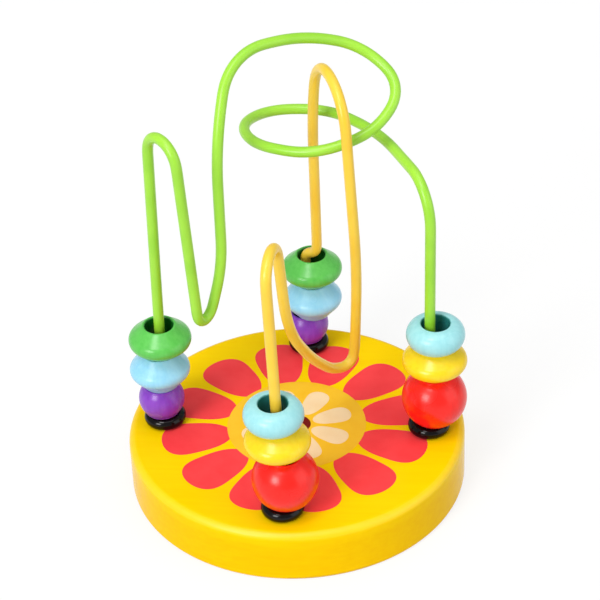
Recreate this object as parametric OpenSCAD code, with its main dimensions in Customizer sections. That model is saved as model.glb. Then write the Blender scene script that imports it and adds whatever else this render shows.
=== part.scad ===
// Wooden bead maze: a round base, two bent wires and loose beads in four stacks.
// Millimetres, +Z up. The origin is the centre of the base's underside, and the front is -Y.

/* [Base] */
// Diameter of the round base
base_d = 90; // [84:1:120]
// Thickness of the base
base_h = 15; // [14:0.5:24]
// Rounding of the base's top edge
base_top_r = 2; // [1:0.5:4]
// Rounding of the base's bottom edge
base_bottom_r = 1; // [0.5:0.5:2]

/* [Feet] */
// Distance from the base's edge to the middle of a wire foot
foot_inset = 9.5; // [8.5:0.5:12]
// Diameter of the cap that closes a foot's hole
cap_d = 11.2; // [9:0.2:12.4]
// Height of the cap above the base
cap_h = 3.4; // [2:0.1:4]
// Diameter of the cap's spigot in the base
spigot_d = 6.4; // [5:0.1:8]
// Base wood left between a spigot and the screw's recess below it
foot_web = 2; // [1.5:0.5:4]
// Plastic left in the cap between the screw's tip and the wire's end
cap_floor = 1; // [0.6:0.1:2]

/* [Screws] */
// Diameter of the screw's shank
screw_d = 2.9; // [2.5:0.1:3.5]
// Length of the shank under the head
screw_l = 6; // [5:0.5:7]
// Diameter of the screw's head
screw_head_d = 5.6; // [5:0.1:6.5]
// Height of the screw's head
screw_head_h = 2; // [1.5:0.1:2.5]
// Depth of the recess that hides the head in the base's underside
screw_recess = 3; // [2.6:0.1:4]
// Room round the screw's head in its recess
recess_room = 0.5; // [0.3:0.1:1]
// Width of one bar of the cross slot
slot_w = 0.8; // [0.6:0.1:1]
// Depth of the cross slot
slot_depth = 1; // [0.6:0.1:1.2]

/* [Wires] */
// Diameter of both wires, with their coating
wire_d = 2.8; // [2.2:0.1:3.2]
// Height of the green wire's left hook above the base
green_hook_h = 91; // [81:1:99]
// Height of the green wire's dip above the base
green_dip_h = 38; // [34:1:51]
// Height of the green wire's arch above the base
green_arch_h = 105; // [99:1:113]
// Height of the green wire's loop above the base
green_loop_h = 77; // [74:1:81]
// Height above the base at which the green wire leaves its right leg
green_leg_h = 68.5; // [60:0.5:70]
// Height of the yellow wire's front hook above the base
yellow_hook_h = 75.5; // [67:0.5:85]
// Height of the yellow wire's dip above the base
yellow_dip_h = 15; // [9:1:25]
// Height of the yellow wire's hump above the base
yellow_hump_h = 96; // [93:1:105]
// Height of the yellow wire's side step above the back stack
step_rise = 0.6; // [0:0.1:4]

/* [Beads] */
// Diameter of the hole in a bead
bead_bore = 7.4; // [6.6:0.1:8]
// Rounding of a hole's edge
bead_lip = 0.5; // [0.2:0.1:0.6]
// Diameter of the red balls
red_d = 17.2; // [15:0.2:20]
// Diameter of the purple balls
purple_d = 12.2; // [11:0.2:15]
// Diameter of the yellow lens beads
yellow_d = 17; // [15:0.2:20]
// Height of the yellow lens beads
yellow_h = 9; // [6:0.2:11]
// Rim rounding of the yellow lens beads
yellow_rim = 2.4; // [1:0.1:2.4]
// Diameter of the blue lens beads
blue_d = 16; // [14.4:0.2:18]
// Height of the blue lens beads
blue_h = 10.4; // [6:0.2:11]
// Rim rounding of the blue lens beads
blue_rim = 2.4; // [0.8:0.1:2.4]
// Diameter of the green bicone beads
green_d = 16.6; // [14.4:0.2:18]
// Height of the green bicone beads
green_h = 8.8; // [8:0.2:12]
// Rim rounding of the green bicone beads
green_rim = 2.4; // [0.8:0.1:2.4]
// Diameter of the aqua rondelle beads
aqua_d = 15.4; // [14.6:0.2:18]
// Radius of the round side of the aqua rondelle beads
aqua_round = 3.6; // [3.5:0.1:6.2]

/* [Fits] */
// Clearance all round where one piece is set in another
fit_gap = 0.05; // [0.02:0.01:0.12]
// Least clearance between a wire and the wall of a bead's hole
slide_gap = 0.25; // [0.1:0.05:0.5]
// Gap between a bead and the piece that it rests on
rest_gap = 0.15; // [0.1:0.05:0.4]

/* [Hidden] */
$fn = 64;
foot_r = base_d / 2 - foot_inset;
spigot_z = screw_recess + foot_web;
screw_tip_z = screw_recess + screw_l;
wire_end_z = screw_tip_z + cap_floor;
cap_top_z = base_h + cap_h;
// Flat land between a bead's round side and the rounded edge of its hole
round_land = 0.05;

red_r = red_d / 2;
purple_r = purple_d / 2;

// Kind of bead: name, diameter, height, radius of its round side or rim, colour
kinds = [
    ["purple_ball", purple_d, round_h(purple_d, purple_r), purple_r, "#8d4abe"],
    ["blue_lens", blue_d, blue_h, blue_rim, "#a9e6f9"],
    ["green_bicone", green_d, green_h, green_rim, "#55c040"],
    ["red_ball", red_d, round_h(red_d, red_r), red_r, "#fb2a1c"],
    ["yellow_lens", yellow_d, yellow_h, yellow_rim, "#fadd22"],
    ["aqua_rondelle", aqua_d, round_h(aqua_d, aqua_round), aqua_round, "#9fe9ee"]
];
cool_stack = ["purple_ball", "blue_lens", "green_bicone"];
warm_stack = ["red_ball", "yellow_lens", "aqua_rondelle"];

// How far a bead can hang to one side of a wire
play = (bead_bore - wire_d) / 2 - slide_gap;
// The yellow wire steps sideways above the back stack, and the two upper beads hang midway
step_way = unit([1, -0.6]);
step = 2 * play * step_way;

// Foot: name, place, its beads from the cap upwards, and how far each hangs to one side of
// the wire, as shares of its play
feet = [
    ["left", [-foot_r, 0], cool_stack, [[-0.25, 0], [-0.15, 0], [0.2, 0]]],
    ["right", [foot_r, 0], warm_stack, [[0.7, 0], [0.75, 0], [0.85, 0]]],
    ["front", [0, -foot_r], warm_stack, [[0.5, 0], [-0.25, 0], [-0.55, 0]]],
    ["back", [0, foot_r], cool_stack, [[-0.2, 0], step_way, step_way]]
];
beads = [for (f = feet) for (level = [0:2]) [str(f[0], "_", f[2][level]), f, level]];

// Corners of the green wire from its left foot, over its hook, dip, arch and loop, to its right foot:
// place in plan as shares of the feet's distance from the middle, and height above the base
green_corners = [
    [-0.985, 0, 0.4 * green_hook_h],
    [-0.955, 0, green_hook_h],
    [-0.73, -0.23, green_hook_h],
    [-0.65, -0.23, green_dip_h],
    [-0.58, -0.11, green_dip_h],
    [-0.48, -0.03, 1.37 * green_dip_h],
    [-0.49, 0.08, 0.81 * green_arch_h],
    [-0.41, 0.41, green_arch_h],
    [0.07, 0.76, 0.985 * green_arch_h],
    [0.48, 0.93, 0.93 * green_arch_h],
    [0.79, 0.72, 0.86 * green_arch_h],
    [0.62, 0.465, 1.07 * green_loop_h],
    [0.18, 0.31, 1.01 * green_loop_h],
    [-0.28, 0.48, green_loop_h],
    [-0.42, 0.79, 0.99 * green_loop_h],
    [-0.25, 1.13, 0.96 * green_loop_h],
    [0.2, 1.155, 0.96 * green_loop_h],
    [0.605, 0.79, 0.97 * green_loop_h],
    [0.93, 0.14, 0.985 * green_loop_h],
    [1.015, 0, green_leg_h]
];
green_route = concat(
    [[-foot_r, 0, wire_end_z]],
    [for (c = green_corners) laid_out(c)],
    [[foot_r, 0, wire_end_z]]
);

// Corners of the yellow wire, in the same way, from its front foot over its hook, dip and hump;
// then it comes down to its back foot with a step to one side above the stack
yellow_corners = [
    [0, -1, 0.2 * yellow_hook_h],
    [-0.04, -1, yellow_hook_h],
    [0, -0.66, yellow_hook_h],
    [0.035, -0.55, 3 * yellow_dip_h],
    [0.155, -0.155, 1.75 * yellow_dip_h],
    [0.28, 0.085, 1.1 * yellow_dip_h],
    [0.42, 0.21, yellow_dip_h],
    [0.44, 0.225, 1.5 * yellow_dip_h],
    [0.465, 0.24, 3 * yellow_dip_h],
    [0.395, 0.27, yellow_hump_h],
    [0.155, 0.845, yellow_hump_h]
];
step_z = stack_top(feet[3]) + step_rise;
yellow_route = concat(
    [[0, -foot_r, wire_end_z]],
    [for (c = yellow_corners) laid_out(c)],
    [
        [step[0], foot_r + step[1], base_h + 0.79 * yellow_hump_h],
        [step[0], foot_r + step[1], step_z],
        [0, foot_r, step_z],
        [0, foot_r, wire_end_z]
    ]
);
// Share of the shorter run beside a corner that the corner's bend takes up
bend_share = 0.48;
// The runs stop this far short of each other, and a ball that is this much thicker closes the joint
joint_gap = 0.05;
joint_swell = 0.04;

function unit(v) = v / norm(v);
function any_normal(u) = unit(cross(u, abs(u[2]) < 0.9 ? [0, 0, 1] : [1, 0, 0]));

// Height of a round-sided bead over the flats round its hole
function round_h(d, round) =
    2 * sqrt(pow(round, 2) - pow(bead_bore / 2 + bead_lip + round_land - d / 2 + round, 2));
function kind(name) = kinds[search([name], kinds)[0]];

// Height of a bead's underside, and of the top of its whole stack
function bead_z(f, level) = level == 0
    ? cap_top_z + rest_gap
    : bead_z(f, level - 1) + kind(f[2][level - 1])[2] + rest_gap;
function stack_top(f) = bead_z(f, 2) + kind(f[2][2])[2];

// Place of a wire's corner
function laid_out(corner) = [corner[0] * foot_r, corner[1] * foot_r, base_h + corner[2]];
// Length that the bend at a corner takes from each run beside it, and the bend's angle
function bend_reach(route, i) = i == 0 || i == len(route) - 1
    ? 0
    : bend_share * min(norm(route[i] - route[i - 1]), norm(route[i + 1] - route[i]));
function bend_angle(route, i) = acos(unit(route[i] - route[i - 1]) * unit(route[i + 1] - route[i]));

module in_frame(origin, x, y) {
    z = cross(x, y);
    multmatrix([
        [x[0], y[0], z[0], origin[0]],
        [x[1], y[1], z[1], origin[1]],
        [x[2], y[2], z[2], origin[2]]
    ]) children();
}

// The straight run of a wire from corner i to the next
module wire_run(route, i) {
    way = unit(route[i + 1] - route[i]);
    first = i == 0 ? 0 : bend_reach(route, i) + joint_gap;
    last = i == len(route) - 2 ? 0 : bend_reach(route, i + 1) + joint_gap;
    x = any_normal(way);
    in_frame(route[i] + way * first, x, cross(way, x))
        cylinder(h = norm(route[i + 1] - route[i]) - first - last, d = wire_d);
}

// The bend of a wire at corner i, with the balls that join it to the runs beside it
module wire_bend(route, i) {
    way_in = unit(route[i] - route[i - 1]);
    way_out = unit(route[i + 1] - route[i]);
    angle = bend_angle(route, i);
    r = bend_reach(route, i) / tan(angle / 2);
    inward = unit(way_out - way_in * (way_in * way_out));
    short = joint_gap / r * 180 / PI;
    in_frame(route[i] - way_in * bend_reach(route, i) + inward * r, -inward, way_in) {
        rotate([0, 0, short])
            rotate_extrude(angle = angle - 2 * short)
                translate([r, 0]) circle(d = wire_d);
        for (end = [0, angle])
            rotate([0, 0, end])
                translate([r, 0, 0]) sphere(d = wire_d + joint_swell);
    }
}

module bent_wire(route) {
    for (i = [0:len(route) - 2])
        wire_run(route, i);
    for (i = [1:len(route) - 2])
        wire_bend(route, i);
}

module green_wire() {
    color("#a2e032") bent_wire(green_route);
}

module yellow_wire() {
    color("#fbcf3c") bent_wire(yellow_route);
}

// Half section of the base, with both edges rounded
module base_section() {
    r = base_d / 2;
    polygon([
        [0, 0],
        [r - base_bottom_r, 0],
        [r, base_bottom_r],
        [r, base_h - base_top_r],
        [r - base_top_r, base_h],
        [0, base_h]
    ]);
    translate([r - base_top_r, base_h - base_top_r]) circle(base_top_r);
    translate([r - base_bottom_r, base_bottom_r]) circle(base_bottom_r);
}

// Stepped hole for one foot: the spigot's bore from above, the screw's hole and recess from below
module foot_hole() {
    over = 1;
    translate([0, 0, spigot_z])
        cylinder(h = base_h - spigot_z + over, d = spigot_d + 2 * fit_gap);
    translate([0, 0, -over])
        cylinder(h = spigot_z + 2 * over, d = screw_d + 2 * fit_gap);
    translate([0, 0, -over])
        cylinder(h = screw_recess + over, d = screw_head_d + 2 * recess_room);
}

module base() {
    color("#fbd010")
        difference() {
            rotate_extrude() base_section();
            for (f = feet)
                translate(f[1]) foot_hole();
        }
}

// Cap and spigot in one turned piece, bored for the wire from above and for the screw from below
module foot_cap(f) {
    over = 1;
    rim = cap_h / 2;
    color("#15100f")
        translate(f[1])
            difference() {
                union() {
                    translate([0, 0, base_h])
                        rotate_extrude() {
                            square([cap_d / 2 - rim, cap_h]);
                            translate([cap_d / 2 - rim, rim]) circle(rim);
                        }
                    translate([0, 0, spigot_z])
                        cylinder(h = base_h + cap_h / 2 - spigot_z, d = spigot_d);
                }
                translate([0, 0, wire_end_z])
                    cylinder(h = cap_top_z + over - wire_end_z, d = wire_d + 2 * fit_gap);
                translate([0, 0, spigot_z - over])
                    cylinder(h = screw_tip_z + fit_gap + over - spigot_z, d = screw_d + 2 * fit_gap);
            }
}

// Pan-head screw with a cross slot, seated from below on the floor of its recess
module base_screw() {
    over = 1;
    point = screw_d / 2;
    dome = screw_head_h / 2;
    difference() {
        union() {
            translate([0, 0, screw_recess - screw_head_h + dome])
                cylinder(h = screw_head_h - dome, d = screw_head_d);
            translate([0, 0, screw_recess - screw_head_h])
                cylinder(h = dome, d1 = screw_head_d - dome, d2 = screw_head_d);
            translate([0, 0, screw_recess - dome])
                cylinder(h = screw_l + dome - point, d = screw_d);
            translate([0, 0, screw_tip_z - point])
                cylinder(h = point, d1 = screw_d, d2 = screw_d / 4);
        }
        for (turn = [0, 90])
            rotate([0, 0, turn])
                translate([0, 0, screw_recess - screw_head_h + (slot_depth - over) / 2])
                    cube([screw_head_d - 2 * slot_w, slot_w, slot_depth + over], center = true);
    }
}

module base_screws() {
    color("silver")
        for (f = feet)
            translate(f[1]) base_screw();
}

// Half section of a round-sided bead, flat round the hole
module round_section(d, h, round) {
    edge = bead_bore / 2 + bead_lip;
    intersection() {
        translate([d / 2 - round, 0]) circle(round);
        translate([edge, -h / 2]) square([d, h]);
    }
    translate([bead_bore / 2, bead_lip - h / 2]) square([bead_lip, h - 2 * bead_lip]);
    for (side = [1, -1])
        translate([edge, side * (h / 2 - bead_lip)]) circle(bead_lip);
}

// Half section of a lens or bicone bead: a round rim, and cones that touch it and the hole's round edge
module cone_section(d, h, rim) {
    rim_at = [d / 2 - rim, 0];
    lip_at = [bead_bore / 2 + bead_lip, h / 2 - bead_lip];
    across = lip_at - rim_at;
    slope = atan2(across[1], across[0]) - acos((rim - bead_lip) / norm(across));
    out = [cos(slope), sin(slope)];
    intersection() {
        translate(rim_at) circle(rim);
        translate([bead_bore / 2, -rim]) square([d, 2 * rim]);
    }
    for (end = [1, -1])
        scale([1, end]) {
            translate(lip_at) circle(bead_lip);
            polygon([
                [bead_bore / 2, 0],
                rim_at,
                rim_at + rim * out,
                lip_at + bead_lip * out,
                lip_at - [bead_lip, 0]
            ]);
        }
}

module bead(f, level) {
    k = kind(f[2][level]);
    hang = play * f[3][level];
    color(k[4])
        translate([f[1][0] + hang[0], f[1][1] + hang[1], bead_z(f, level) + k[2] / 2])
            rotate_extrude()
                if (k[3] >= k[2] / 2)
                    round_section(k[1], k[2], k[3]);
                else
                    cone_section(k[1], k[2], k[3]);
}

base();
base_screws();
green_wire();
yellow_wire();
for (f = feet)
    foot_cap(f);
for (b = beads)
    bead(b[1], b[2]);
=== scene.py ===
import math

import bmesh
import bpy
from mathutils import Matrix, Vector


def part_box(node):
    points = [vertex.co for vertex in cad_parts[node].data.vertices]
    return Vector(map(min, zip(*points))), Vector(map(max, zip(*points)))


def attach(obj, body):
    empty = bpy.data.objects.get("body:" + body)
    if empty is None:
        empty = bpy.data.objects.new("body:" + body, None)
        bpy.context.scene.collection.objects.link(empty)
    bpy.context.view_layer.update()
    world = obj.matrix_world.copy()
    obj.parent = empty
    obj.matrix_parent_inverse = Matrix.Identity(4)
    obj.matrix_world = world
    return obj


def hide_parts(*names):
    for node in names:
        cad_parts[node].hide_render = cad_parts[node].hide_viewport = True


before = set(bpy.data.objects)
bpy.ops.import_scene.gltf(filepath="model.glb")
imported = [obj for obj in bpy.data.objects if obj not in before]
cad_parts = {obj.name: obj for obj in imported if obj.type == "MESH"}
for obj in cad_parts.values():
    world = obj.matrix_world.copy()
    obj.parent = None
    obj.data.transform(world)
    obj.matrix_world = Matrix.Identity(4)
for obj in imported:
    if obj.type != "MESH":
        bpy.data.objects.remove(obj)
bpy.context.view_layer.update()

# Base
# A thick disc turned from beech, with rounded edges, sprayed with several coats of yellow lacquer.
# Its side is painted a deeper yellow than its top and rounded edge, as painted shade.
MM = 0.001
base_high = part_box("base")[1]
base_top = base_high.z
# Colours of the lacquer: a random tone runs between the first two, and painted shade on the side deepens it
# towards the third
BASE_COLOURS = ("#fcd304", "#fbcd02", "#f6c000")
BASE_MIRROR = 0.03
BASE_ROUGHNESS = (0.15, 0.22)
# The grain of the board runs along X, so its pattern is drawn out that way
BOARD_GRAIN = (0.08, 1.0, 1.0)
# Depths below the top at which the painted shade on the side begins and is at its deepest, and its strength
SIDE_SHADE_START = 1.2 * MM
SIDE_SHADE_END = 5 * MM
SIDE_SHADE_STRENGTH = 0.6
# The rounded top edge is rubbed down between coats, so it mirrors more strongly and more widely
EDGE_ROUNDING = 2 * MM
EDGE_MIRROR_GAIN = 0.8
EDGE_ROUGHNESS_GAIN = 0.4
# Widths of the coat's cloudy patches, of beech's grain and of the ripple in sprayed lacquer
PATCH_WIDTH = 9 * MM
GRAIN_WIDTH = 0.4 * MM
RIPPLE_WIDTH = 1.6 * MM
# Grain and ripple are too fine to show in the render, so they are drawn this many times as wide
GRAIN_ENLARGED = 3
RIPPLE_ENLARGED = 2
GRAIN_RELIEF = 0.03 * MM
RIPPLE_RELIEF = 0.06 * MM
# Ramp places: random tone spans the first two colours, and painted shade reaches the third
TONE_AND_SHADE_STOPS = (0.0, 0.4, 1.0)
LACQUER_IOR = 1.5


def linear(hex_colour):
    """Linear RGBA of an sRGB hex colour."""
    parts = [int(hex_colour[i:i + 2], 16) / 255 for i in (1, 3, 5)]
    return [c / 12.92 if c <= 0.04045 else ((c + 0.055) / 1.055) ** 2.4 for c in parts] + [1.0]


def add_node(material, kind, inputs=None, stops=(), **settings):
    """Adds a shader node with its settings and fills its sockets with values or links. A ramp also gets its
    stops, each a place from 0 to 1 and a hex colour."""
    node = material.node_tree.nodes.new("ShaderNode" + kind)
    for name, value in settings.items():
        setattr(node, name, value)
    for name, value in (inputs or {}).items():
        if isinstance(value, bpy.types.NodeSocket):
            material.node_tree.links.new(value, node.inputs[name])
        else:
            node.inputs[name].default_value = value
    for _ in stops[2:]:
        node.color_ramp.elements.new(1.0)
    for i, (place, colour) in enumerate(stops):
        node.color_ramp.elements[i].position = place
        node.color_ramp.elements[i].color = linear(colour)
    return node


def new_material(name):
    """A material with an empty node tree."""
    material = bpy.data.materials.new(name)
    material.use_nodes = True
    material.node_tree.nodes.clear()
    return material


def lacquered_beech(name, colours, shade_depth, grain_stretch, mirror, roughness):
    """Gloss lacquer over turned beech. It is opaque, so the eye sees an even colour with a random drift of
    tone, deepened where painted shade is given, a faint trace of the grain, and a soft ripple in the gloss."""
    material = new_material(name)
    place = add_node(material, "TexCoord").outputs["Object"]
    patches = add_node(material, "TexNoise", {"Vector": place, "Scale": 1 / PATCH_WIDTH, "Detail": 2.0})
    drift = add_node(material, "MapRange", {"Value": patches.outputs["Fac"], "To Min": -0.08, "To Max": 0.12})
    along = add_node(material, "Mapping", {"Vector": place, "Scale": grain_stretch})
    grain = add_node(material, "TexNoise", {
        "Vector": along.outputs["Vector"], "Scale": 1 / (GRAIN_ENLARGED * GRAIN_WIDTH), "Detail": 2.0,
    })
    streaks = add_node(material, "MapRange", {
        "Value": grain.outputs["Fac"], "From Min": 0.3, "From Max": 0.7, "To Min": -0.06, "To Max": 0.26,
    })
    shades = add_node(material, "Math", {0: drift.outputs["Result"], 1: streaks.outputs["Result"]},
                      operation="ADD")
    # Random tone and the painted shade passed in add up here to pick the lacquer's colour from the ramp
    depth = add_node(material, "Math", {0: shade_depth(material), 1: shades.outputs["Value"]},
                     operation="ADD", use_clamp=True)
    tint = add_node(material, "ValToRGB", {"Fac": depth.outputs["Value"]}, list(zip(TONE_AND_SHADE_STOPS, colours)))
    ripple = add_node(material, "TexNoise", {
        "Vector": place, "Scale": 1 / (RIPPLE_ENLARGED * RIPPLE_WIDTH), "Detail": 0.0,
    })
    relief = add_node(material, "Bump", {
        "Height": grain.outputs["Fac"], "Strength": 0.3, "Distance": GRAIN_RELIEF,
    })
    coat = add_node(material, "Bump", {
        "Height": ripple.outputs["Fac"], "Strength": 0.4, "Distance": RIPPLE_RELIEF,
        "Normal": relief.outputs["Normal"],
    })
    gloss = add_node(material, "MapRange", {
        "Value": patches.outputs["Fac"], "To Min": roughness[0], "To Max": roughness[1],
    })
    shader = add_node(material, "BsdfPrincipled", {
        "Base Color": tint.outputs["Color"], "Roughness": gloss.outputs["Result"], "IOR": LACQUER_IOR,
        "Specular IOR Level": mirror, "Normal": coat.outputs["Normal"],
    })
    add_node(material, "OutputMaterial", {"Surface": shader.outputs["BSDF"]})
    return material


def painted_side_shade(material):
    """Painted shade for the base: none on its top and rounded edge, and full on its side below them."""
    place = add_node(material, "TexCoord").outputs["Object"]
    height = add_node(material, "SeparateXYZ", {"Vector": place}).outputs["Z"]
    return add_node(material, "MapRange", {
        "Value": height, "From Min": base_top - SIDE_SHADE_START, "From Max": base_top - SIDE_SHADE_END,
        "To Min": 0.0, "To Max": SIDE_SHADE_STRENGTH,
    }).outputs["Result"]


def rub_edge(material):
    """Rubs down the lacquer along the base's top edge, most in the middle of the rounding."""
    place = add_node(material, "TexCoord").outputs["Object"]
    height = add_node(material, "SeparateXYZ", {"Vector": place}).outputs["Z"]
    flat = add_node(material, "VectorMath", {0: place, 1: (1.0, 1.0, 0.0)}, operation="MULTIPLY")
    radius = add_node(material, "VectorMath", {0: flat.outputs["Vector"]}, operation="LENGTH")
    upward = add_node(material, "MapRange", {
        "Value": height, "From Min": base_top - EDGE_ROUNDING, "From Max": base_top,
    })
    outward = add_node(material, "MapRange", {
        "Value": radius.outputs["Value"], "From Min": base_high.x - EDGE_ROUNDING, "From Max": base_high.x,
    })
    rubbed = add_node(material, "Math", {0: upward.outputs["Result"], 1: outward.outputs["Result"]},
                      operation="MINIMUM").outputs["Value"]
    shader = material.node_tree.nodes["Principled BSDF"]
    for name, gain in (("Specular IOR Level", EDGE_MIRROR_GAIN), ("Roughness", EDGE_ROUGHNESS_GAIN)):
        socket = shader.inputs[name]
        plain = socket.links[0].from_socket if socket.is_linked else socket.default_value
        raised = add_node(material, "Math", {0: rubbed, 1: gain, 2: plain}, operation="MULTIPLY_ADD")
        material.node_tree.links.new(raised.outputs["Value"], socket)


def finish_node(node, material):
    """Gives a solid of the frame its finish."""
    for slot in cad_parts[node].material_slots:
        slot.material = material


# The base's side gets painted shade through its colour ramp
base_lacquer = lacquered_beech("yellow_lacquered_beech", BASE_COLOURS, painted_side_shade, BOARD_GRAIN, BASE_MIRROR,
                               BASE_ROUGHNESS)
rub_edge(base_lacquer)
finish_node("base", base_lacquer)

# Rosette print
# A flower screen-printed on the base's top in four inks. Each ink lies as a thin layer on the lacquer,
# and the next one overprints it.
INK_THICKNESS = 0.03 * MM
PETALS = 12
PETAL_INNER = 17.4 * MM
PETAL_OUTER = 36.4 * MM
PETAL_WIDTH = 15.6 * MM
DISC_RADIUS = 18.6 * MM
DAISY_PETALS = 8
DAISY_INNER = 4.6 * MM
DAISY_OUTER = 15.2 * MM
DAISY_WIDTH = 7.4 * MM
EYE_RADIUS = 3.8 * MM
# A petal's sides close in towards its inner end to this share of their width, and its ends are this blunt
PETAL_NECK = 0.58
PETAL_BLUNTNESS = 3
MOTTLE_WIDTH = 5 * MM
# The printing mesh leaves marks about 0.12 mm apart, drawn ten times as wide so that they show
MESH_SPACING = 0.12 * MM
MESH_ENLARGED = 10
MESH_RELIEF = 0.01 * MM
INK_IOR = 1.5


def screen_ink(name, colour, thin):
    """Opaque screen ink: satin, with the light mottle of ink drawn through a mesh."""
    material = new_material(name)
    place = add_node(material, "TexCoord").outputs["Object"]
    mottle = add_node(material, "TexNoise", {"Vector": place, "Scale": 1 / MOTTLE_WIDTH, "Detail": 4.0})
    tint = add_node(material, "ValToRGB", {"Fac": mottle.outputs["Fac"]}, ((0.3, thin), (0.6, colour)))
    weave = add_node(material, "TexNoise", {
        "Vector": place, "Scale": 1 / (MESH_ENLARGED * MESH_SPACING), "Detail": 1.0,
    })
    relief = add_node(material, "Bump", {
        "Height": weave.outputs["Fac"], "Strength": 0.2, "Distance": MESH_RELIEF,
    })
    shader = add_node(material, "BsdfPrincipled", {
        "Base Color": tint.outputs["Color"], "Roughness": 0.34, "IOR": INK_IOR, "Specular IOR Level": 0.15,
        "Normal": relief.outputs["Normal"],
    })
    add_node(material, "OutputMaterial", {"Surface": shader.outputs["BSDF"]})
    return material


def add_piece(name, mesh, material):
    """Makes a finished mesh a piece that is fixed to the frame."""
    data = bpy.data.meshes.new(name)
    mesh.to_mesh(data)
    mesh.free()
    data.materials.append(material)
    piece = bpy.data.objects.new(name, data)
    bpy.context.scene.collection.objects.link(piece)
    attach(piece, "frame")
    return piece


def ink_layer(name, outlines, layer, material):
    """Prints closed outlines on the base's top, as thin slabs in the given layer of ink."""
    mesh = bmesh.new()
    top = base_top + (layer + 1) * INK_THICKNESS
    for outline in outlines:
        low = [mesh.verts.new((x, y, base_top)) for x, y in outline]
        high = [mesh.verts.new((x, y, top)) for x, y in outline]
        mesh.faces.new(high)
        mesh.faces.new(reversed(low))
        for i in range(len(outline)):
            j = (i + 1) % len(outline)
            mesh.faces.new((low[i], low[j], high[j], high[i]))
    add_piece(name, mesh, material)


def round_outline(radius, points=96):
    """A circle round the middle of the base, as a closed outline."""
    turns = [2 * math.pi * i / points for i in range(points)]
    return [(radius * math.cos(a), radius * math.sin(a)) for a in turns]


def petal_outline(turn, inner, outer, width, points=24):
    """A rounded petal that widens outwards from the rosette's middle, as a closed outline."""
    side = []
    for i in range(points + 1):
        t = 0.5 - 0.5 * math.cos(math.pi * i / points)
        swell = math.sqrt(1 - abs(2 * t - 1) ** PETAL_BLUNTNESS)
        taper = PETAL_NECK + (1 - PETAL_NECK) * t
        side.append((inner + (outer - inner) * t, width / 2 * swell * taper))
    edge = [(r, -w) for r, w in side] + side[-2:0:-1]
    c, s = math.cos(turn), math.sin(turn)
    return [(r * c - w * s, r * s + w * c) for r, w in edge]


def ring_of_petals(count, inner, outer, width):
    """The outlines of a ring of like petals, with the feet between them."""
    return [petal_outline((i + 0.5) * 2 * math.pi / count, inner, outer, width) for i in range(count)]


red_ink = screen_ink("red_screen_ink", "#fb4448", "#f73d42")
gold_ink = screen_ink("gold_screen_ink", "#fbc42a", "#f8bd22")
cream_ink = screen_ink("cream_screen_ink", "#fbdcae", "#f8d5a2")
maroon_ink = screen_ink("maroon_screen_ink", "#7a0f0a", "#6c0c08")
ink_layer("rosette_petals", ring_of_petals(PETALS, PETAL_INNER, PETAL_OUTER, PETAL_WIDTH), 0, red_ink)
ink_layer("rosette_disc", [round_outline(DISC_RADIUS)], 1, gold_ink)
ink_layer("rosette_daisy", ring_of_petals(DAISY_PETALS, DAISY_INNER, DAISY_OUTER, DAISY_WIDTH), 2, cream_ink)
ink_layer("rosette_eye", [round_outline(EYE_RADIUS)], 2, maroon_ink)

# Foot caps
# Four black caps moulded in ABS, each in one piece with the spigot that is pressed into the base.
# The mould was polished, so they shine almost like glass.
CAP_COLOUR = "#080406"
SINK_WIDTH = 3 * MM
SINK_RELIEF = 0.04 * MM
ABS_IOR = 1.54


def moulded_abs(name, colour):
    """Polished black ABS: nearly even colour, and a sharp gloss with slight sink ripples."""
    material = new_material(name)
    place = add_node(material, "TexCoord").outputs["Object"]
    sink = add_node(material, "TexNoise", {"Vector": place, "Scale": 1 / SINK_WIDTH, "Detail": 1.0})
    relief = add_node(material, "Bump", {
        "Height": sink.outputs["Fac"], "Strength": 0.2, "Distance": SINK_RELIEF,
    })
    gloss = add_node(material, "MapRange", {"Value": sink.outputs["Fac"], "To Min": 0.08, "To Max": 0.14})
    shader = add_node(material, "BsdfPrincipled", {
        "Base Color": linear(colour), "Roughness": gloss.outputs["Result"], "IOR": ABS_IOR,
        "Specular IOR Level": 0.22, "Normal": relief.outputs["Normal"],
    })
    add_node(material, "OutputMaterial", {"Surface": shader.outputs["BSDF"]})
    return material


black_abs = moulded_abs("polished_black_abs", CAP_COLOUR)
for side in ("left", "right", "front", "back"):
    finish_node("foot_cap_" + side, black_abs)

# Screws
# Four zinc-plated steel pan-head screws, driven up through the base into the caps' spigots.
# Only their heads show, in recesses in the underside.
ZINC_COLOUR = "#c9ccd0"
# Plated grains are about 0.04 mm wide, drawn ten times as wide so that they show
ZINC_GRAIN = 0.04 * MM
ZINC_ENLARGED = 10


def zinc_plate(name, colour):
    """Bright zinc plating: a blue-grey metal with a fine scatter of dull grains."""
    material = new_material(name)
    place = add_node(material, "TexCoord").outputs["Object"]
    grains = add_node(material, "TexNoise", {
        "Vector": place, "Scale": 1 / (ZINC_ENLARGED * ZINC_GRAIN), "Detail": 3.0,
    })
    dull = add_node(material, "MapRange", {"Value": grains.outputs["Fac"], "To Min": 0.22, "To Max": 0.45})
    shader = add_node(material, "BsdfPrincipled", {
        "Base Color": linear(colour), "Metallic": 1.0, "Roughness": dull.outputs["Result"],
    })
    add_node(material, "OutputMaterial", {"Surface": shader.outputs["BSDF"]})
    return material


finish_node("base_screws", zinc_plate("bright_zinc_plate", ZINC_COLOUR))

# Wires
# Two lengths of steel wire, bent cold on a jig and dipped in soft vinyl, which flows round every bend.
# Their ends are set in the caps' spigots.
WIRE_RADIUS = 1.4 * MM
WIRE_SIDES = 20
WIRE_END = 10 * MM
FOOT_INSET = 9.5 * MM
foot_distance = base_high.x - FOOT_INSET
# Share of the shorter run beside a corner that the corner's bend takes up
BEND_SHARE = 0.48
LEAST_BEND_STEPS = 4
POINT_SPACING = 0.8 * MM
SPRING_BACK_PASSES = 6
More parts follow.
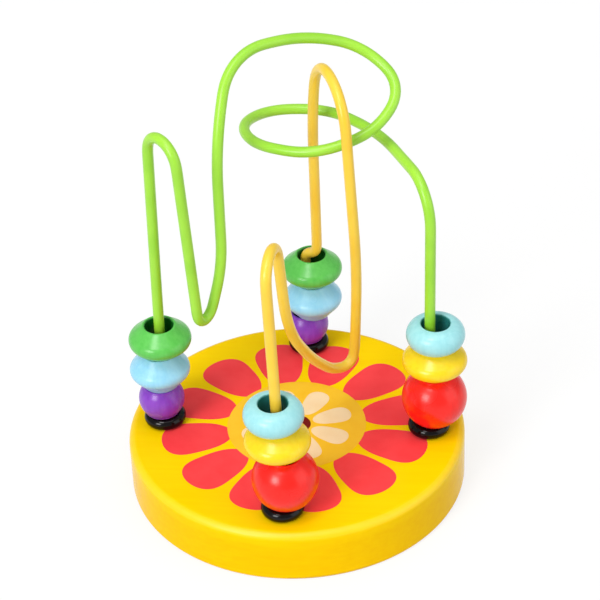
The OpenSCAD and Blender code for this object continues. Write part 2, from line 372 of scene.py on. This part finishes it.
# Heights above the base
GREEN_HOOK = 91 * MM
GREEN_DIP = 38 * MM
GREEN_ARCH = 105 * MM
GREEN_LOOP = 77 * MM
GREEN_LEG = 68.5 * MM
YELLOW_HOOK = 75.5 * MM
YELLOW_DIP = 15 * MM
YELLOW_HUMP = 96 * MM
# Corners of each wire: place in plan as shares of the feet's distance, and height above the base
GREEN_CORNERS = [
    (-0.985, 0, 0.4 * GREEN_HOOK), (-0.955, 0, GREEN_HOOK), (-0.73, -0.23, GREEN_HOOK),
    (-0.65, -0.23, GREEN_DIP), (-0.58, -0.11, GREEN_DIP), (-0.48, -0.03, 1.37 * GREEN_DIP),
    (-0.49, 0.08, 0.81 * GREEN_ARCH), (-0.41, 0.41, GREEN_ARCH), (0.07, 0.76, 0.985 * GREEN_ARCH),
    (0.48, 0.93, 0.93 * GREEN_ARCH), (0.79, 0.72, 0.86 * GREEN_ARCH),
    (0.62, 0.465, 1.07 * GREEN_LOOP), (0.18, 0.31, 1.01 * GREEN_LOOP), (-0.28, 0.48, GREEN_LOOP),
    (-0.42, 0.79, 0.99 * GREEN_LOOP), (-0.25, 1.13, 0.96 * GREEN_LOOP), (0.2, 1.155, 0.96 * GREEN_LOOP),
    (0.605, 0.79, 0.97 * GREEN_LOOP), (0.93, 0.14, 0.985 * GREEN_LOOP), (1.015, 0, GREEN_LEG),
]
YELLOW_CORNERS = [
    (0, -1, 0.2 * YELLOW_HOOK), (-0.04, -1, YELLOW_HOOK), (0, -0.66, YELLOW_HOOK),
    (0.035, -0.55, 3 * YELLOW_DIP), (0.155, -0.155, 1.75 * YELLOW_DIP), (0.28, 0.085, 1.1 * YELLOW_DIP),
    (0.42, 0.21, YELLOW_DIP), (0.44, 0.225, 1.5 * YELLOW_DIP), (0.465, 0.24, 3 * YELLOW_DIP),
    (0.395, 0.27, YELLOW_HUMP), (0.155, 0.845, YELLOW_HUMP),
]
# The yellow wire steps sideways just above the back stack, by twice the play that a bead has on it
BEAD_PLAY = 2.05 * MM
STEP = 2 * BEAD_PLAY * Vector((1, -0.6, 0)).normalized()
STEP_RISE = 0.6 * MM
step_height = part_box("back_green_bicone")[1].z + STEP_RISE
step_start = base_top + 0.79 * YELLOW_HUMP
RUN_WIDTH = 11 * MM
# The ripple of dipped vinyl is about 2 mm wide, drawn twice as wide so that it shows
DIP_RIPPLE = 2 * MM
DIP_ENLARGED = 2
DIP_RELIEF = 0.05 * MM
VINYL_IOR = 1.52


def dipped_vinyl(name, colour, thin):
    """Dip-coated vinyl: even colour, slightly deeper where the dip ran thin, with a soft waxy gloss."""
    material = new_material(name)
    place = add_node(material, "TexCoord").outputs["Object"]
    runs = add_node(material, "TexNoise", {"Vector": place, "Scale": 1 / RUN_WIDTH, "Detail": 2.0})
    tint = add_node(material, "ValToRGB", {"Fac": runs.outputs["Fac"]}, ((0.3, thin), (0.6, colour)))
    ripple = add_node(material, "TexNoise", {
        "Vector": place, "Scale": 1 / (DIP_ENLARGED * DIP_RIPPLE), "Detail": 0.0,
    })
    relief = add_node(material, "Bump", {
        "Height": ripple.outputs["Fac"], "Strength": 0.3, "Distance": DIP_RELIEF,
    })
    gloss = add_node(material, "MapRange", {"Value": runs.outputs["Fac"], "To Min": 0.26, "To Max": 0.36})
    shader = add_node(material, "BsdfPrincipled", {
        "Base Color": tint.outputs["Color"], "Roughness": gloss.outputs["Result"], "IOR": VINYL_IOR,
        "Normal": relief.outputs["Normal"],
    })
    add_node(material, "OutputMaterial", {"Surface": shader.outputs["BSDF"]})
    return material


def wire_end(x, y):
    """The end of a wire in the cap of the foot that lies that way from the middle."""
    return Vector((x * foot_distance, y * foot_distance, WIRE_END))


def placed(corner):
    """The place of a wire's corner."""
    return Vector((corner[0] * foot_distance, corner[1] * foot_distance, base_top + corner[2]))


def bent_path(corners):
    """A wire's centre line: straight runs with a round bend at each corner, eased as it springs back."""
    line = [corners[0]]
    for before, corner, after in zip(corners, corners[1:], corners[2:]):
        way_in, way_out = (corner - before).normalized(), (after - corner).normalized()
        angle = way_in.angle(way_out)
        reach = BEND_SHARE * min((corner - before).length, (after - corner).length)
        radius = reach / math.tan(angle / 2)
        inward = (way_out - way_in * way_in.dot(way_out)).normalized()
        middle = corner - way_in * reach + inward * radius
        steps = max(LEAST_BEND_STEPS, math.ceil(radius * angle / POINT_SPACING))
        for i in range(steps + 1):
            turn = angle * i / steps
            line.append(middle - inward * radius * math.cos(turn) + way_in * radius * math.sin(turn))
    line.append(corners[-1])
    points = [line[0]]
    for start, end in zip(line, line[1:]):
        steps = max(1, math.ceil((end - start).length / POINT_SPACING))
        points += [start.lerp(end, (i + 1) / steps) for i in range(steps)]
    for _ in range(SPRING_BACK_PASSES):
        eased = [(a + 2 * b + c) / 4 for a, b, c in zip(points, points[1:], points[2:])]
        points = [points[0]] + eased + [points[-1]]
    return points


def wire_tube(name, node, corners, material):
    """Sweeps a wire's round section along its path, closes both ends and puts it in place of its solid."""
    points = bent_path(corners)
    turns = [2 * math.pi * k / WIRE_SIDES for k in range(WIRE_SIDES)]
    mesh = bmesh.new()
    way = (points[1] - points[0]).normalized()
    across = way.orthogonal().normalized()
    rings = []
    for i, point in enumerate(points):
        ahead = (points[min(i + 1, len(points) - 1)] - points[max(i - 1, 0)]).normalized()
        across = way.rotation_difference(ahead) @ across
        way = ahead
        beside = way.cross(across)
        spokes = [across * math.cos(a) + beside * math.sin(a) for a in turns]
        rings.append([mesh.verts.new(point + spoke * WIRE_RADIUS) for spoke in spokes])
    for low, high in zip(rings, rings[1:]):
        for k in range(WIRE_SIDES):
            j = (k + 1) % WIRE_SIDES
            mesh.faces.new((low[k], low[j], high[j], high[k])).smooth = True
    mesh.faces.new(reversed(rings[0]))
    mesh.faces.new(rings[-1])
    piece = add_piece(name, mesh, material)
    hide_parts(node)


green_line = [wire_end(-1, 0)] + [placed(c) for c in GREEN_CORNERS] + [wire_end(1, 0)]
yellow_line = [wire_end(0, -1)] + [placed(c) for c in YELLOW_CORNERS] + [
    Vector((STEP.x, foot_distance + STEP.y, step_start)),
    Vector((STEP.x, foot_distance + STEP.y, step_height)),
    Vector((0, foot_distance, step_height)),
    wire_end(0, 1),
]
green_vinyl = dipped_vinyl("green_dipped_vinyl", "#a2e03c", "#94d630")
yellow_vinyl = dipped_vinyl("yellow_dipped_vinyl", "#fad242", "#f8c932")
wire_tube("green_coated_wire", "green_wire", green_line, green_vinyl)
wire_tube("yellow_coated_wire", "yellow_wire", yellow_line, yellow_vinyl)

# Beads
# Twelve beads turned from beech and tumbled in gloss lacquer, which covers the holes as well; the holes are
# painted dark as shade. They are threaded on the wires and lie loosely on each other.
# Each bead's colours: two tones of its lacquer that vary at random, and a dark one painted in its hole as
# shade
BEAD_COLOURS = {
    "purple_ball": ("#8c42c4", "#7c36b6", "#351058"),
    "blue_lens": ("#9cd9f5", "#8ccff1", "#1c6484"),
    "green_bicone": ("#62c556", "#52b948", "#0e641c"),
    "red_ball": ("#fb1c10", "#ee160c", "#6a0604"),
    "yellow_lens": ("#fbd716", "#f8cc0e", "#a86c00"),
    "aqua_rondelle": ("#a3dfe4", "#94d6dc", "#2a7c7c"),
}
BEAD_MIRROR = 0.46
BEAD_ROUGHNESS = (0.23, 0.3)
# The grain of the dowel runs along a bead's hole, so its pattern is drawn out that way
DOWEL_GRAIN = (1.0, 1.0, 0.12)
# The painted shade fills the hole and fades out over the lip's width
HOLE_RADIUS = 3.7 * MM
HOLE_LIP = 0.5 * MM


def painted_hole_shade(width):
    """A function that gives a bead's painted shade: none outside, and full in its hole."""
    def depth(material):
        place = add_node(material, "TexCoord").outputs["Generated"]
        from_axis = add_node(material, "VectorMath", {0: place, 1: (0.5, 0.5, 0.5)}, operation="SUBTRACT")
        flat = add_node(material, "VectorMath", {0: from_axis.outputs["Vector"], 1: (width, width, 0.0)},
                        operation="MULTIPLY")
        radius = add_node(material, "VectorMath", {0: flat.outputs["Vector"]}, operation="LENGTH")
        return add_node(material, "MapRange", {
            "Value": radius.outputs["Value"], "From Min": HOLE_RADIUS + HOLE_LIP, "From Max": HOLE_RADIUS,
            "To Min": 0.0, "To Max": 1.0,
        }).outputs["Result"]
    return depth


for kind, colours in BEAD_COLOURS.items():
    nodes = [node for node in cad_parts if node.endswith(kind)]
    low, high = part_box(nodes[0])
    lacquer = lacquered_beech(kind.split("_")[0] + "_lacquered_bead", colours, painted_hole_shade(high.x - low.x),
                              DOWEL_GRAIN, BEAD_MIRROR, BEAD_ROUGHNESS)
    for node in nodes:
        finish_node(node, lacquer)

# Stage
# A studio floor of matt white paper, which the toy stands on. It stays white to the camera and in
# reflections, and keeps a faint shadow.
FLOOR_HALF = 10.0
FLOOR_DROP = 0.05 * MM
SHADOW_SHARE = 0.22
PAPER_SEEN = "#fafafa"
PAPER_IN_BOUNCES = "#c8c8c8"
floor_mesh = bpy.data.meshes.new("floor")
floor_corners = [(x * FLOOR_HALF, y * FLOOR_HALF, 0) for x, y in ((-1, -1), (1, -1), (1, 1), (-1, 1))]
floor_mesh.from_pydata(floor_corners, [], [(0, 1, 2, 3)])
floor = bpy.data.objects.new("floor", floor_mesh)
floor.location.z = -FLOOR_DROP
bpy.context.scene.collection.objects.link(floor)
white_paper = new_material("white_studio_paper")
rays = add_node(white_paper, "LightPath")
seen = add_node(white_paper, "Math", {0: rays.outputs["Is Camera Ray"], 1: rays.outputs["Is Glossy Ray"]},
                operation="MAXIMUM")
seen_all = add_node(white_paper, "Math", {0: seen.outputs["Value"], 1: rays.outputs["Is Transmission Ray"]},
                    operation="MAXIMUM")
pulp = add_node(white_paper, "ValToRGB", {"Fac": seen_all.outputs["Value"]},
                ((0.0, PAPER_IN_BOUNCES), (1.0, PAPER_SEEN)))
matte = add_node(white_paper, "BsdfDiffuse", {"Color": pulp.outputs["Color"]})
glow = add_node(white_paper, "Emission", {"Color": (1.0, 1.0, 1.0, 1.0), "Strength": 1.0})
share = add_node(white_paper, "Math", {0: seen_all.outputs["Value"], 1: 1 - SHADOW_SHARE},
                 operation="MULTIPLY")
paper = add_node(white_paper, "MixShader", {
    "Fac": share.outputs["Value"], 1: matte.outputs["BSDF"], 2: glow.outputs["Emission"],
})
add_node(white_paper, "OutputMaterial", {"Surface": paper.outputs["Shader"]})
floor_mesh.materials.append(white_paper)

# Light
# Square softboxes in an even white room: a key lamp low at the front left with a wide weak scrim round it,
# a second small lamp high above it, and two wide ones, at the right and overhead, that soften the shadows.
LAMP_TARGET = Vector((0, 0, 45 * MM))
LAMP_DISTANCE = 3.0
ROOM_STRENGTH = 0.45
# Each lamp: name, azimuth from the front and elevation in degrees, side in metres, and power in watts
LAMPS = (
    ("key_softbox", -32, 26, 1.15, 42),
    ("key_scrim", -32, 27, 2.6, 5),
    ("high_softbox", -28, 62, 0.85, 21),
    ("right_softbox", 72, 20, 2.4, 20),
    ("overhead_softbox", 20, 84, 2.6, 24),
)
for name, azimuth, elevation, size, power in LAMPS:
    lamp_data = bpy.data.lights.new(name, "AREA")
    lamp_data.size = size
    lamp_data.energy = power
    lamp = bpy.data.objects.new(name, lamp_data)
    a, e = math.radians(azimuth), math.radians(elevation)
    way = Vector((math.sin(a) * math.cos(e), -math.cos(a) * math.cos(e), math.sin(e)))
    lamp.location = LAMP_TARGET + way * LAMP_DISTANCE
    lamp.rotation_euler = (-way).to_track_quat("-Z", "Y").to_euler()
    bpy.context.scene.collection.objects.link(lamp)
world = bpy.data.worlds.new("white_room")
bpy.context.scene.world = world
world.use_nodes = True
room = world.node_tree.nodes["Background"]
room.inputs["Color"].default_value = (1.0, 1.0, 1.0, 1.0)
room.inputs["Strength"].default_value = ROOM_STRENGTH

# Camera
# A long lens that looks down on the toy from the front and a little from the right, held with a slight roll.
# Its place, aim and length were fitted to the base's rim and the four feet.
CAMERA_AT = Vector((59.1, -462.01, 386.43)) * MM
CAMERA_AIM = Vector((0.85, 12.36, 47.16)) * MM
CAMERA_ROLL = math.radians(-2.48)
SENSOR_WIDTH_MM = 36.0
LENS_MM = 133.05
NEAREST_SEEN = 0.01
camera_data = bpy.data.cameras.new("camera")
camera_data.sensor_width = SENSOR_WIDTH_MM
camera_data.lens = LENS_MM
camera_data.clip_start = NEAREST_SEEN
camera = bpy.data.objects.new("camera", camera_data)
look = (CAMERA_AIM - CAMERA_AT).to_track_quat("-Z", "Y").to_matrix() @ Matrix.Rotation(CAMERA_ROLL, 3, "Z")
camera.location = CAMERA_AT
camera.rotation_euler = look.to_euler()
bpy.context.scene.collection.objects.link(camera)
bpy.context.scene.camera = camera
bpy.context.scene.view_settings.view_transform = "Standard"
